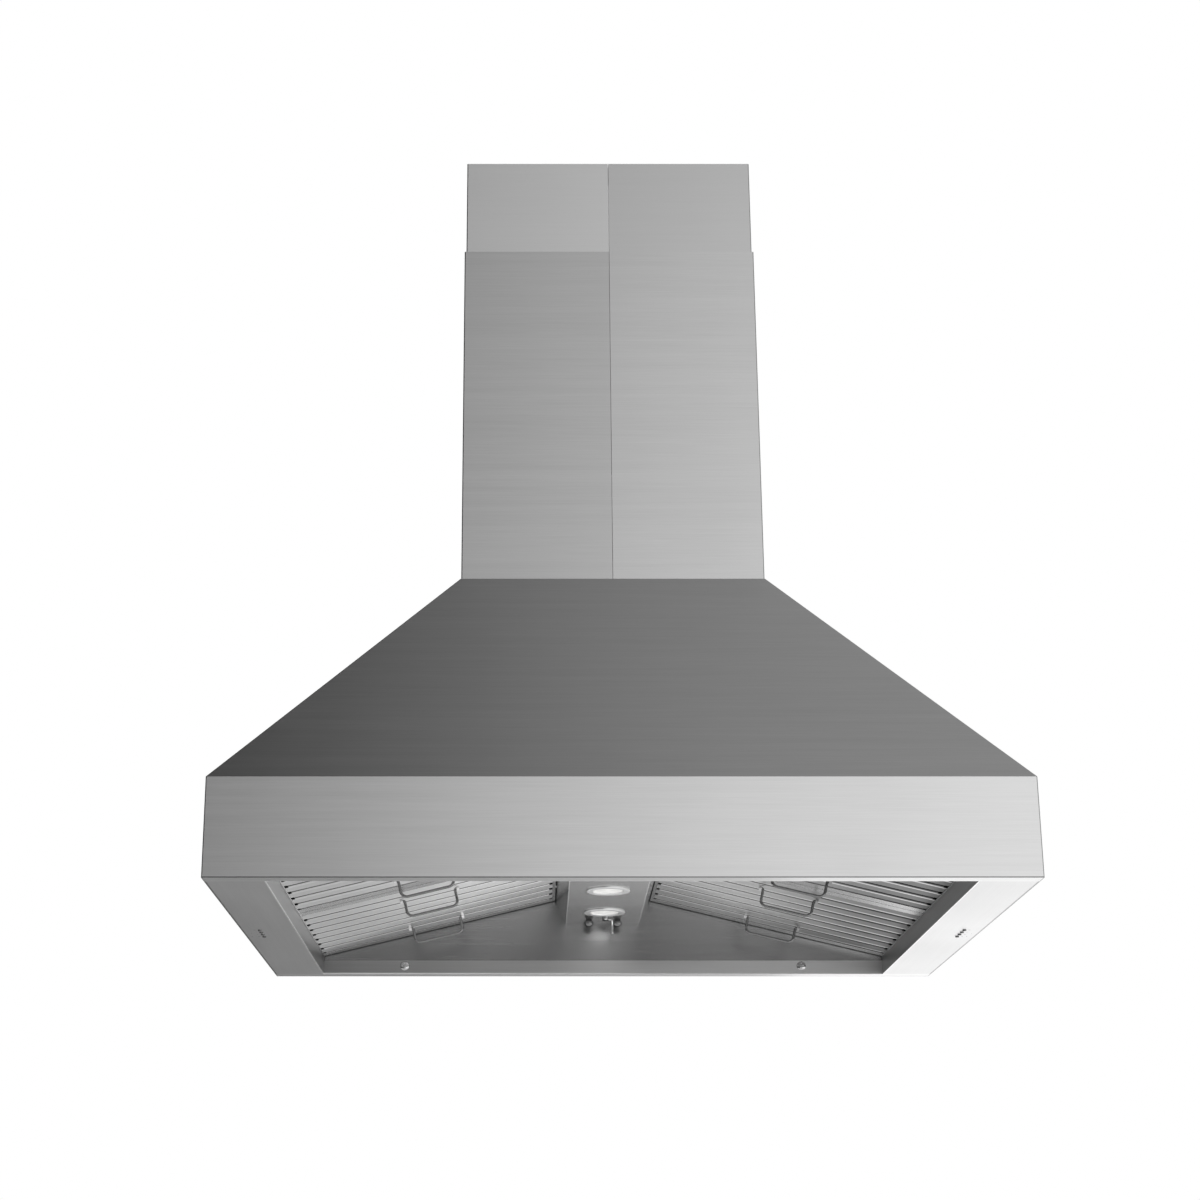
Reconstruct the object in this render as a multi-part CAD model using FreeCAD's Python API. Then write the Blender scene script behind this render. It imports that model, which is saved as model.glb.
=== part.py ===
import FreeCAD
import Part

import math
import os

from FreeCAD import Vector

# Island range hood, in millimetres.
# Heights are written above the rim's lower face, and save() then lowers every
# piece by TOTAL_H, so that the ceiling is at z = 0 and the hood hangs below it.
# X runs left to right, -Y is the front, +Z is up.

# Overall sizes and fits
PIN_CLEARANCE = 0.05
REST_GAP = 0.1
TOTAL_H = 1135.0
HOOD_W = 1067.0
HOOD_D = 864.0
BAND_H = 131.0
CANOPY_H = 470.0
CANOPY_TOP_W = 434.0
CANOPY_SHEET = 1.2
CANOPY_FLANGE = 12.0
MITRE_FROM = 60.0
MITRE_PAST = 20.0
EDGE_R = 1.5

# Chimney: two sleeves, each made of a left and a right half
LOWER_CHIMNEY_W = 432.0
LOWER_CHIMNEY_H = 516.0
UPPER_CHIMNEY_W = 427.0
UPPER_CHIMNEY_H = 500.0
CHIMNEY_SHEET = 1.0
CHIMNEY_SEAM = 0.6
CHIMNEY_LIP = 12.0
LOWER_LIP_H = 55.0
SEAM_NOTCH = 5.0

# Ceiling plate
PLATE_T = 2.5
PLATE_FLANGE_H = 32.0
PLATE_FLANGE_T = 2.0
PLATE_OPENING = 300.0
PLATE_CORNER_R = 2.0
CEILING_BOLT_SPACING = 350.0
CEILING_BOLT_HOLE_R = 4.5

# Telescoping posts
POST_LEG = 30.0
POST_T = 3.0
UPPER_POST_FACE = 203.0
LOWER_POST_FACE = 199.5
UPPER_POST_BOTTOM = 600.0
LOWER_POST_TOP = 890.0
POST_SLOT_W = 9.0
POST_SLOT_LOW = 620.0
POST_SLOT_HIGH = 980.0
POST_BOLT_HEIGHTS = (830.0, 870.0)
POST_BOLT_Y = 184.5
BOLT_HEAD_GAP = 0.6
BOLT_THREAD_END = 1.0
BOLT_R = 4.0
BOLT_HOLE_R = 4.1
BOLT_FLATS = 13.0
BOLT_HEAD_H = 5.3
NUT_H = 6.5

# Rim rails round the open underside
FRONT_RAIL_W = 25.0
FRONT_LIP_H = 22.0
SIDE_RAIL_W = 78.5
SIDE_LIP_H = 28.0
RAIL_SHEET = 1.2

# Liner walls behind the front and rear lips, and their dome screws
LINER_SHEET = 1.0
LINER_TOP = 163.0
LINER_SCREW_X = 323.0
LINER_SCREW_Z = 13.0
LINER_SCREW_R = 2.5
LINER_DOME_R = 7.5
LINER_DOME_H = 3.5
LINER_SCREW_PAST = 6.0
LINER_SIDE_GAP = 0.5
SCREW_CLEARANCE = 0.1

# Light box along the middle
LIGHT_BOTTOM = 84.0
LIGHT_BOTTOM_W = 120.0
LIGHT_BEND = 119.0
LIGHT_TOP = 150.0
LIGHT_TOP_W = 152.0
LIGHT_SHEET = 1.0
LIGHT_FLANGE = 12.0
LIGHT_SLANT_INSET = 0.65
LIGHT_BEND_INSET = 0.3
HOLE_CLEARANCE = 0.2
LAMP_YS = (-306.0, -117.0, 117.0, 306.0)
BEZEL_R = 33.0
BEZEL_T = 2.0
BEZEL_ROUND = 1.2
BEZEL_TUBE_L = 8.0
BEZEL_TUBE_R = 25.0
BEZEL_TUBE_T = 1.5
LENS_R = 23.2
LENS_T = 3.0
LENS_OPENING_R = 22.5
HOUSING_R = 29.0
HOUSING_H = 38.0
HOUSING_WALL = 2.0
KNOB_X = 23.0
KNOB_Y = 374.0
KNOB_R = 7.2
KNOB_H = 12.5
KNOB_ROUND = 6.0
KNOB_STUD_R = 2.5
KNOB_STUD_L = 10.0
LATCH_X = 3.0
LATCH_Y = 351.0
LATCH_BOSS_R = 5.0
LATCH_BOSS_H = 6.0
LATCH_PIN_R = 2.0
LATCH_PIN_PAST = 10.0
LATCH_REACH = 11.0
LATCH_DROP = 26.0
LATCH_WIRE_R = 1.8
LATCH_TIP_R = 2.34

# Baffle filters: four, each hinged on the lip of a side rail
FILTER_TILT_RISE = 91.2
FILTER_TILT_RUN = 378.2
FILTER_PIVOT_X = 453.8
FILTER_PIVOT_Z = 28.88
FILTER_OUTER_X = 470.0
FILTER_INNER_X = 78.0
FILTER_SPAN = 402.0
FILTER_GAP = 2.0
FILTER_T = 22.0
FILTER_SHEET = 0.8
FILTER_END_FLANGE = 5.0
FILTER_BEAD_R = 0.7
FILTER_WINDOW_EDGE = 1.0
SLAT_COUNT = 8
SLAT_PITCH = 45.0
SLAT_W = 38.0
SLAT_LEG = 11.0
SLAT_R = 3.0
SLAT_CLEAR = 0.2
DRAIN_NOTCH_L = 5.0
DRAIN_NOTCH_W = 5.0
BAFFLE_W = 30.0
BAFFLE_LEG = 12.0
BAFFLE_SHORT = 12.0
CATCH_R = 4.0
CATCH_REACH = 4.0
CATCH_Z = 135.0
CATCH_NOSE_R = 3.2
CATCH_SPREAD = 150.0

# Bail handles, two on each filter
HANDLE_U = 190.0
HANDLE_SPREAD = 122.0
HANDLE_LEGS = 77.0
HANDLE_DROP = 27.0
HANDLE_WIRE_R = 2.0
HANDLE_BEND_R = 9.0
HANDLE_EYE_BEND_R = 2.6
HANDLE_EYE_L = 6.8
HANDLE_AXIS = -2.8
LUG_W = 8.0
LUG_T = 4.0
LUG_GAP = 0.6
LUG_TOP = 1.2

# Push buttons in the side rails, and the boards above them
BUTTON_X = 507.0
BUTTON_YS = (-28.5, -9.5, 9.5, 28.5)
BUTTON_R = 2.75
BUTTON_HOLE_R = 3.05
BUTTON_PROUD = 1.5
BUTTON_TOP = 6.0
BUTTON_COLLAR_R = 4.2
BUTTON_COLLAR_T = 1.0
BUTTON_ROUND = 0.55
BOARD_Z = 9.0
BOARD_T = 1.6
BOARD_W = 30.0
BOARD_L = 100.0
SWITCH_W = 6.0
SWITCH_H = 1.8
STANDOFF_R = 3.0
STANDOFF_Y = 44.0

# Blower
TOP_FRAME_HALF = 214.0
TOP_FRAME_T = 3.0
TOP_FRAME_OPENING = 200.0
SCROLL_HALF_W = 96.0
SCROLL_SHEET = 1.5
SCROLL_STEP = 17.0
SCROLL_R = 135.0
INLET_R = 95.0
WHEEL_Z = 319.0
WHEEL_R = 115.0
WHEEL_HALF_W = 88.0
WHEEL_RING = 16.0
WHEEL_RING_T = 1.5
BLADE_COUNT = 36
BLADE_T = 1.0
BLADE_SKEW = 25.0
BLADE_INSET = 0.5
BLADE_H = 14.0
HUB_X = 5.0
HUB_T = 3.0
HUB_BOSS_R = 12.0
MOTOR_R = 55.0
MOTOR_FROM = -82.0
MOTOR_TO = 0.0
MOTOR_NECK_R = 33.0
SHAFT_R = 6.0
SHAFT_END = 22.0
ARM_W = 14.0
ARM_T = 3.0
ARM_REACH = 112.0
ARM_FIRST = 60.0

# Duct collar with its two backdraft flaps
DUCT_R = 127.0
COLLAR_WALL = 1.0
COLLAR_BASE_HALF = 150.0
COLLAR_BASE_T = 1.5
COLLAR_H = 60.0
DAMPER_Z = 500.0
DAMPER_ROD_R = 2.0
FLAP_R = 123.5
FLAP_T = 0.8
FLAP_GAP = 3.4
LEAF_END = 4.4
FLAP_STOP_W = 5.0
KNUCKLE_R = 3.0
KNUCKLE_L = 34.0
KNUCKLE_SPACE = 36.0

# Junction box beside the collar
JBOX_X = 152.0
JBOX_W = 48.0
JBOX_L = 100.0
JBOX_H = 40.0
JBOX_WALL = 1.2
KNOCKOUT_R = 11.1

HOOD_X = HOOD_W / 2
HOOD_Y = HOOD_D / 2
TOP_HALF = CANOPY_TOP_W / 2
FILTER_TILT = math.degrees(math.atan2(FILTER_TILT_RISE, FILTER_TILT_RUN))
TILT_COS = math.cos(math.radians(FILTER_TILT))
FILTER_U0 = -(FILTER_OUTER_X - FILTER_PIVOT_X) / TILT_COS
FILTER_U1 = (FILTER_PIVOT_X - FILTER_INNER_X) / TILT_COS
FILTER_Y = FILTER_SPAN / 2 + FILTER_GAP / 2
WHEEL_Y = -(SCROLL_R + 3 * SCROLL_STEP) / 2
SIGNS = (-1, 1)
UP = Vector(0, 0, 1)
ALONG_X = Vector(1, 0, 0)
ALONG_Y = Vector(0, 1, 0)
NEAR = 0.01


def box(x0, x1, y0, y1, z0, z1):
    corner = Vector(min(x0, x1), min(y0, y1), min(z0, z1))
    return Part.makeBox(abs(x1 - x0), abs(y1 - y0), abs(z1 - z0), corner)


def centred(half_x, half_y, z0, z1):
    return box(-half_x, half_x, -half_y, half_y, z0, z1)


def rod(radius, start, direction, length):
    return Part.makeCylinder(radius, length, Vector(*start), direction)


def ring(outer_r, inner_r, start, direction, length):
    return rod(outer_r, start, direction, length).cut(rod(inner_r, start, direction, length))


def prism(points, along):
    corners = [Vector(*p) for p in points]
    face = Part.Face(Part.makePolygon(corners + corners[:1]))
    return face.extrude(along)


def frustum(half_x0, half_y0, z0, half_x1, half_y1, z1):
    rims = []
    for hx, hy, z in ((half_x0, half_y0, z0), (half_x1, half_y1, z1)):
        corners = [Vector(-hx, -hy, z), Vector(hx, -hy, z), Vector(hx, hy, z), Vector(-hx, hy, z)]
        rims.append(Part.makePolygon(corners + corners[:1]))
    return Part.makeLoft(rims, True, True)


def mirrored(shape, normal):
    return shape.mirror(Vector(0, 0, 0), normal)


def four_corners(shape):
    pair = [shape, mirrored(shape, ALONG_X)]
    return pair + [mirrored(s, ALONG_Y) for s in pair]


def vertical_edges(shape):
    return [e for e in shape.Edges if abs(e.tangentAt(e.FirstParameter).z) > 0.999]


def hexagon(flats, start, direction_x, height):
    x, y, z = start
    radius = flats / 2 / math.cos(math.pi / 6)
    points = []
    for k in range(6):
        turn = math.pi * k / 3
        points.append((x, y + radius * math.cos(turn), z + radius * math.sin(turn)))
    return prism(points, Vector(direction_x * height, 0, 0))


def save(name, *shapes):
    shape = shapes[0] if len(shapes) == 1 else Part.makeCompound(list(shapes))
    shape = shape.copy()
    shape.translate(Vector(0, 0, -TOTAL_H))
    shape.exportStep("parts/" + name + ".step")


# ---------------------------------------------------------------- ceiling side


def ceiling_plate():
    half = UPPER_CHIMNEY_W / 2 - CHIMNEY_SHEET
    inside = half - PLATE_FLANGE_T
    plate = centred(half, half, TOTAL_H - PLATE_FLANGE_H, TOTAL_H)
    plate = plate.makeFillet(PLATE_CORNER_R, vertical_edges(plate))
    plate = plate.cut(centred(inside, inside, TOTAL_H - PLATE_FLANGE_H, TOTAL_H - PLATE_T))
    opening = PLATE_OPENING / 2
    plate = plate.cut(centred(opening, opening, TOTAL_H - PLATE_T, TOTAL_H))
    for s in SIGNS:
        notch_y = s * (half - CHIMNEY_LIP)
        plate = plate.cut(box(-SEAM_NOTCH, SEAM_NOTCH, notch_y, s * half, TOTAL_H - PLATE_FLANGE_H, TOTAL_H))
    reach = CEILING_BOLT_SPACING / 2
    hole = rod(CEILING_BOLT_HOLE_R, (reach, reach, TOTAL_H - PLATE_T), UP, PLATE_T)
    for h in four_corners(hole):
        plate = plate.cut(h)
    save("ceiling_plate", plate)


def post(face, z0, z1):
    inner = face - POST_T
    far = face - POST_LEG
    points = [(face, face), (far, face), (far, inner), (inner, inner), (inner, far), (face, far)]
    return prism([(x, y, z0) for x, y in points], Vector(0, 0, z1 - z0))


def upper_posts():
    angle = post(UPPER_POST_FACE, UPPER_POST_BOTTOM, TOTAL_H - PLATE_T)
    half = POST_SLOT_W / 2
    x0 = UPPER_POST_FACE - POST_T
    low = POST_SLOT_LOW + half
    high = POST_SLOT_HIGH - half
    slot = box(x0, UPPER_POST_FACE, POST_BOLT_Y - half, POST_BOLT_Y + half, low, high)
    for z in (low, high):
        slot = slot.fuse(rod(half, (x0, POST_BOLT_Y, z), ALONG_X, POST_T))
    save("upper_posts", *four_corners(angle.cut(slot)))


def lower_posts():
    angle = post(LOWER_POST_FACE, CANOPY_H - CANOPY_SHEET, LOWER_POST_TOP)
    x0 = LOWER_POST_FACE - POST_T
    for z in POST_BOLT_HEIGHTS:
        angle = angle.cut(rod(BOLT_HOLE_R, (x0, POST_BOLT_Y, z), ALONG_X, POST_T))
    save("lower_posts", *four_corners(angle))


def post_bolts():
    bolts = []
    nut_x = LOWER_POST_FACE - POST_T - NUT_H
    head_x = UPPER_POST_FACE + BOLT_HEAD_GAP
    shank_x = nut_x - BOLT_THREAD_END
    shank_l = head_x + BOLT_THREAD_END - shank_x
    for z in POST_BOLT_HEIGHTS:
        nut = hexagon(BOLT_FLATS, (nut_x, POST_BOLT_Y, z), 1, NUT_H)
        shank = rod(BOLT_R, (shank_x, POST_BOLT_Y, z), ALONG_X, shank_l)
        head = hexagon(BOLT_FLATS, (head_x, POST_BOLT_Y, z), 1, BOLT_HEAD_H)
        bolts += four_corners(nut.fuse(shank).fuse(head))
    save("post_bolts", *bolts)


def chimney_half(width, z0, z1, lip_top, side):
    half = width / 2
    inner = half - CHIMNEY_SHEET
    outside = centred(half, half, z0, z1)
    outside = outside.makeFillet(EDGE_R, vertical_edges(outside))
    inside = centred(inner, inner, z0, z1)
    inside = inside.makeFillet(EDGE_R - CHIMNEY_SHEET, vertical_edges(inside))
    start = side * CHIMNEY_SEAM / 2
    wall = outside.cut(inside).common(box(start, side * width, -width, width, z0, z1))
    for y_side in SIGNS:
        lip_x = start + side * CHIMNEY_SHEET
        wall = wall.fuse(box(start, lip_x, y_side * (inner - CHIMNEY_LIP), y_side * inner, z0, lip_top))
    return wall.removeSplitter()


def chimneys():
    lower_top = CANOPY_H + LOWER_CHIMNEY_H
    for name, side in (("left", -1), ("right", 1)):
        upper = chimney_half(UPPER_CHIMNEY_W, TOTAL_H - UPPER_CHIMNEY_H, TOTAL_H, TOTAL_H, side)
        save("upper_chimney_" + name, upper)
        lower = chimney_half(LOWER_CHIMNEY_W, CANOPY_H, lower_top, CANOPY_H + LOWER_LIP_H, side)
        save("lower_chimney_" + name, lower)


# ---------------------------------------------------------------- canopy


def canopy_shell():
    outside = centred(HOOD_X, HOOD_Y, 0, BAND_H)
    outside = outside.fuse(frustum(HOOD_X, HOOD_Y, BAND_H, TOP_HALF, TOP_HALF, CANOPY_H)).removeSplitter()
    bends = []
    for edge in outside.Edges:
        z = [v.Z for v in edge.Vertexes]
        if max(z) > 1 and min(z) < CANOPY_H - 1:
            bends.append(edge)
    outside = outside.makeFillet(EDGE_R, bends)
    inset_x = HOOD_X - CANOPY_SHEET
    inset_y = HOOD_Y - CANOPY_SHEET
    slope_h = CANOPY_H - BAND_H
    top_x = TOP_HALF - CANOPY_SHEET * math.hypot(1, (HOOD_X - TOP_HALF) / slope_h)
    top_y = TOP_HALF - CANOPY_SHEET * math.hypot(1, (HOOD_Y - TOP_HALF) / slope_h)
    bend_z = BAND_H - CANOPY_SHEET / 2
    inside = centred(inset_x, inset_y, 0, bend_z)
    inside = inside.fuse(frustum(inset_x, inset_y, bend_z, top_x, top_y, CANOPY_H))
    inside = inside.cut(centred(HOOD_X, HOOD_Y, CANOPY_H - CANOPY_SHEET, CANOPY_H))
    shell = outside.cut(inside)
    hole = TOP_HALF - CANOPY_FLANGE
    return shell.cut(centred(hole, hole, CANOPY_H - CANOPY_SHEET, CANOPY_H))


def canopy_panels():
    shell = canopy_shell()
    mitre = (HOOD_Y - TOP_HALF) / (HOOD_X - TOP_HALF)
    far = HOOD_X - TOP_HALF + MITRE_PAST
    in_x, in_y = TOP_HALF - MITRE_FROM, TOP_HALF - MITRE_FROM * mitre
    out_x, out_y = TOP_HALF + far, TOP_HALF + far * mitre
    height = Vector(0, 0, CANOPY_H)
    for name, s in (("front", -1), ("rear", 1)):
        near_y, far_y = s * in_y, s * out_y
        wedge = [(-in_x, near_y, 0), (in_x, near_y, 0), (out_x, far_y, 0), (-out_x, far_y, 0)]
        save("canopy_" + name + "_panel", shell.common(prism(wedge, height)))
    for name, s in (("left", -1), ("right", 1)):
        near_x, far_x = s * in_x, s * out_x
        wedge = [(near_x, -in_y, 0), (far_x, -out_y, 0), (far_x, out_y, 0), (near_x, in_y, 0)]
        save("canopy_" + name + "_panel", shell.common(prism(wedge, height)))


def front_lip_y():
    return HOOD_Y - FRONT_RAIL_W


def side_lip_x():
    return HOOD_X - SIDE_RAIL_W


def liner_screw_hole(x, s, length):
    start = (x, s * front_lip_y(), LINER_SCREW_Z)
    return rod(LINER_SCREW_R + SCREW_CLEARANCE, start, Vector(0, s, 0), length)


def front_and_rear_rails():
    half = HOOD_X - CANOPY_SHEET
    lip = front_lip_y()
    for name, s in (("front", -1), ("rear", 1)):
        rail = box(-half, half, s * lip, s * (HOOD_Y - CANOPY_SHEET), 0, RAIL_SHEET)
        rail = rail.fuse(box(-half, half, s * lip, s * (lip + RAIL_SHEET), 0, FRONT_LIP_H)).removeSplitter()
        for side in SIGNS:
            rail = rail.cut(liner_screw_hole(side * LINER_SCREW_X, s, RAIL_SHEET))
        save("rim_" + name + "_rail", rail)


def side_rails():
    lip = side_lip_x()
    end = front_lip_y()
    for name, s in (("left", -1), ("right", 1)):
        rail = box(s * lip, s * (HOOD_X - CANOPY_SHEET), -end, end, 0, RAIL_SHEET)
        rail = rail.fuse(box(s * lip, s * (lip + RAIL_SHEET), -end, end, 0, SIDE_LIP_H)).removeSplitter()
        for y in BUTTON_YS:
            rail = rail.cut(rod(BUTTON_HOLE_R, (s * BUTTON_X, y, 0), UP, RAIL_SHEET))
        save("rim_" + name + "_rail", rail)


def liner_walls():
    half = side_lip_x() - LINER_SIDE_GAP
    start = front_lip_y() + RAIL_SHEET
    for name, s in (("front", -1), ("rear", 1)):
        wall = box(-half, half, s * start, s * (start + LINER_SHEET), RAIL_SHEET, LINER_TOP)
        for side in SIGNS:
            wall = wall.cut(liner_screw_hole(side * LINER_SCREW_X, s, RAIL_SHEET + LINER_SHEET))
        save(name + "_liner_wall", wall)


def dome(radius, height, start, direction):
    """A shallow domed head, flat side at start."""
    sphere_r = (radius * radius + height * height) / (2 * height)
    half_turn = math.asin(radius / sphere_r) / 2
    middle = Vector(sphere_r * math.sin(half_turn), 0, height - sphere_r * (1 - math.cos(half_turn)))
    rim, top, base = Vector(radius, 0, 0), Vector(0, 0, height), Vector(0, 0, 0)
    edges = [
        Part.LineSegment(base, rim).toShape(),
        Part.Arc(rim, middle, top).toShape(),
        Part.LineSegment(top, base).toShape(),
    ]
    solid = Part.Face(Part.Wire(edges)).revolve(base, UP, 360)
    solid.Placement = FreeCAD.Placement(Vector(*start), FreeCAD.Rotation(UP, direction))
    return solid


def liner_screws():
    screws = []
    lip = front_lip_y()
    reach = RAIL_SHEET + LINER_SHEET + LINER_SCREW_PAST
    for s in SIGNS:
        for side in SIGNS:
            start = (side * LINER_SCREW_X, s * lip, LINER_SCREW_Z)
            shank = rod(LINER_SCREW_R, start, Vector(0, s, 0), reach)
            head = dome(LINER_DOME_R, LINER_DOME_H, start, Vector(0, -s, 0))
            screws.append(head.fuse(shank))
    save("liner_screws", *screws)


# ---------------------------------------------------------------- light box


def light_profile(inset):
    bottom = LIGHT_BOTTOM_W / 2 - LIGHT_SLANT_INSET * inset
    top = LIGHT_TOP_W / 2 - inset
    z0, z1, z2 = LIGHT_BOTTOM + inset, LIGHT_BEND + LIGHT_BEND_INSET * inset, LIGHT_TOP - inset
    y = -(front_lip_y() + RAIL_SHEET)
    right = [(bottom, y, z0), (top, y, z1), (top, y, z2)]
    left = [(-x, y, z) for x, y, z in reversed(right)]
    return right + left


def light_box():
    length = Vector(0, 2 * (front_lip_y() + RAIL_SHEET), 0)
    trough = prism(light_profile(0), length).cut(prism(light_profile(LIGHT_SHEET), length))
    mouth = LIGHT_TOP_W / 2 - LIGHT_FLANGE
    trough = trough.cut(centred(mouth, HOOD_Y, LIGHT_TOP - 2 * LIGHT_SHEET, LIGHT_TOP))
    for y in LAMP_YS:
        trough = trough.cut(rod(BEZEL_TUBE_R + HOLE_CLEARANCE, (0, y, LIGHT_BOTTOM), UP, LIGHT_SHEET))
    for s in SIGNS:
        stud_r = KNOB_STUD_R + SCREW_CLEARANCE
        trough = trough.cut(rod(stud_r, (s * KNOB_X, KNOB_Y, LIGHT_BOTTOM), UP, LIGHT_SHEET))
    hole = rod(LATCH_PIN_R + PIN_CLEARANCE, (LATCH_X, LATCH_Y, LIGHT_BOTTOM), UP, LIGHT_SHEET)
    save("light_box", trough.cut(hole))


def lamps():
    bezels, lenses, housings = [], [], []
    low = LIGHT_BOTTOM - BEZEL_T
    for y in LAMP_YS:
        flange = ring(BEZEL_R, LENS_OPENING_R, (0, y, low), UP, BEZEL_T)
        outer_edges = [e for e in flange.Edges if abs(e.BoundBox.ZMax - low) < NEAR]
        flange = flange.makeFillet(BEZEL_ROUND, outer_edges)
        tube = ring(BEZEL_TUBE_R, BEZEL_TUBE_R - BEZEL_TUBE_T, (0, y, LIGHT_BOTTOM), UP, BEZEL_TUBE_L)
        bezels.append(flange.fuse(tube))
        lenses.append(rod(LENS_R, (0, y, LIGHT_BOTTOM), UP, LENS_T))
        start = LIGHT_BOTTOM + LIGHT_SHEET
        cup = rod(HOUSING_R, (0, y, start), UP, HOUSING_H)
        hollow = rod(HOUSING_R - HOUSING_WALL, (0, y, start), UP, HOUSING_H - HOUSING_WALL)
        housings.append(cup.cut(hollow))
    save("lamp_bezels", *bezels)
    save("lamp_lenses", *lenses)
    save("lamp_housings", *housings)


def light_box_knobs():
    knobs = []
    for s in SIGNS:
        low = LIGHT_BOTTOM - KNOB_H
        head = rod(KNOB_R, (s * KNOB_X, KNOB_Y, low), UP, KNOB_H)
        head = head.makeFillet(KNOB_ROUND, [e for e in head.Edges if e.BoundBox.ZMax < low + NEAR])
        knobs.append(head.fuse(rod(KNOB_STUD_R, (s * KNOB_X, KNOB_Y, LIGHT_BOTTOM), UP, KNOB_STUD_L)))
    save("light_box_knobs", *knobs)


def wire_path(points, radii):
    """Straight runs joined by arcs: one radius for each inner point."""
    corners = [Vector(*p) for p in points]
    edges = []
    start = corners[0]
    for before, corner, after, radius in zip(corners, corners[1:], corners[2:], radii):
        back = (before - corner).normalize()
        ahead = (after - corner).normalize()
        half = back.getAngle(ahead) / 2
        cut = radius / math.tan(half)
        first, last = corner + back * cut, corner + ahead * cut
        middle = (back + ahead).normalize()
        apex = corner + middle * (radius / math.sin(half) - radius)
        if (first - start).Length > 1e-6:
            edges.append(Part.LineSegment(start, first).toShape())
        edges.append(Part.Arc(first, apex, last).toShape())
        start = last
    edges.append(Part.LineSegment(start, corners[-1]).toShape())
    return Part.Wire(edges)


def bent_wire(points, radii, wire_r):
    path = wire_path(points, radii)
    start = Vector(*points[0])
    heading = Vector(*points[1]) - start
    circle = Part.Wire(Part.Circle(start, heading, wire_r).toShape())
    return path.makePipeShell([circle], True, False)


def light_box_latch():
    z = LIGHT_BOTTOM - LATCH_BOSS_H
    boss = rod(LATCH_BOSS_R, (LATCH_X, LATCH_Y, z), UP, LATCH_BOSS_H - REST_GAP)
    pin = rod(LATCH_PIN_R, (LATCH_X, LATCH_Y, z), UP, LATCH_BOSS_H + LATCH_PIN_PAST)
    arm_z = z + LATCH_WIRE_R
    tip_x = LATCH_X + LATCH_REACH
    points = [(LATCH_X, LATCH_Y, arm_z), (tip_x, LATCH_Y, arm_z), (tip_x, LATCH_Y, LIGHT_BOTTOM - LATCH_DROP)]
    lever = bent_wire(points, [2 * LATCH_WIRE_R], LATCH_WIRE_R)
    tip = Part.makeSphere(LATCH_TIP_R, Vector(*points[-1]))
    save("light_box_latch", boss.fuse(pin).fuse(lever).fuse(tip))


def filter_catches():
    catches = []
    wall = LIGHT_TOP_W / 2
    for s in SIGNS:
        for y in (-FILTER_Y, FILTER_Y):
            for dy in (-CATCH_SPREAD, CATCH_SPREAD):
                outward = Vector(s, 0, 0)
                half = CATCH_REACH / 2
                body = rod(CATCH_R, (s * wall, y + dy, CATCH_Z), outward, half)
                nose = dome(CATCH_NOSE_R, half, (s * (wall + half), y + dy, CATCH_Z), outward)
                catches.append(body.fuse(nose))
    save("filter_catches", *catches)


# ---------------------------------------------------------------- filters


def place_filter(shape, left, y):
    """From the filter's own axes (pivot at the origin, x up the slope) into the hood."""
    shape = shape.copy()
    shape.rotate(Vector(0, 0, 0), ALONG_Y, -FILTER_TILT)
    shape.translate(Vector(-FILTER_PIVOT_X, y, FILTER_PIVOT_Z))
    return shape if left else mirrored(shape, ALONG_X)


def filter_frame():
    half = FILTER_SPAN / 2
    slats_half = ((SLAT_COUNT - 1) * SLAT_PITCH + SLAT_W) / 2 + FILTER_WINDOW_EDGE
    t = FILTER_SHEET
    frame = box(FILTER_U0, FILTER_U1, -half, half, 0, FILTER_T)
    frame = frame.cut(box(FILTER_U0 + t, FILTER_U1 - t, -half + t, half - t, t, FILTER_T - t))
    window = box(0, FILTER_U1 - FILTER_END_FLANGE, -slats_half, slats_half, 0, FILTER_T)
    bead = rod(FILTER_BEAD_R, (0, -half, 0), ALONG_Y, FILTER_SPAN)
    return frame.cut(window).fuse(bead)


def channel(u0, u1, v, width, n0, leg, open_up):
    """A folded channel along the slope, its closed side at n0."""
    t = FILTER_SHEET
    up = 1 if open_up else -1
    n1 = n0 + up * leg
    outside = box(u0, u1, v - width / 2, v + width / 2, n0, n1)
    inside = box(u0, u1, v - width / 2 + t, v + width / 2 - t, n0 + up * t, n1)

    def bends(shape, level):
        found = []
        for e in shape.Edges:
            b = e.BoundBox
            if b.XLength > 1 and abs(b.ZMin - level) < NEAR and abs(b.ZMax - level) < NEAR:
                found.append(e)
        return found

    outside = outside.makeFillet(SLAT_R, bends(outside, n0))
    inside = inside.makeFillet(SLAT_R - t, bends(inside, n0 + up * t))
    return outside.cut(inside)


def handle_lugs(v):
    lugs = []
    for s in SIGNS:
        near = HANDLE_U + s * (HANDLE_LEGS / 2 + HANDLE_WIRE_R + LUG_GAP)
        far = near + s * LUG_T
        lug = box(near, far, v - LUG_W / 2, v + LUG_W / 2, HANDLE_AXIS, LUG_TOP)
        lug = lug.fuse(rod(LUG_W / 2, (min(near, far), v, HANDLE_AXIS), ALONG_X, LUG_T))
        hole = rod(HANDLE_WIRE_R + PIN_CLEARANCE, (min(near, far), v, HANDLE_AXIS), ALONG_X, LUG_T)
        lugs.append(lug.cut(hole))
    return lugs


def drain_notches(v):
    """The cuts at both ends of a slat's two edges."""
    notches = []
    window_end = FILTER_U1 - FILTER_END_FLANGE
    for u0 in (0, window_end - DRAIN_NOTCH_L):
        for s in SIGNS:
            edge = v + s * SLAT_W / 2
            top = FILTER_SHEET + SLAT_LEG
            notches.append(box(u0, u0 + DRAIN_NOTCH_L, edge - s * DRAIN_NOTCH_W, edge, FILTER_SHEET, top))
    return notches


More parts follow.
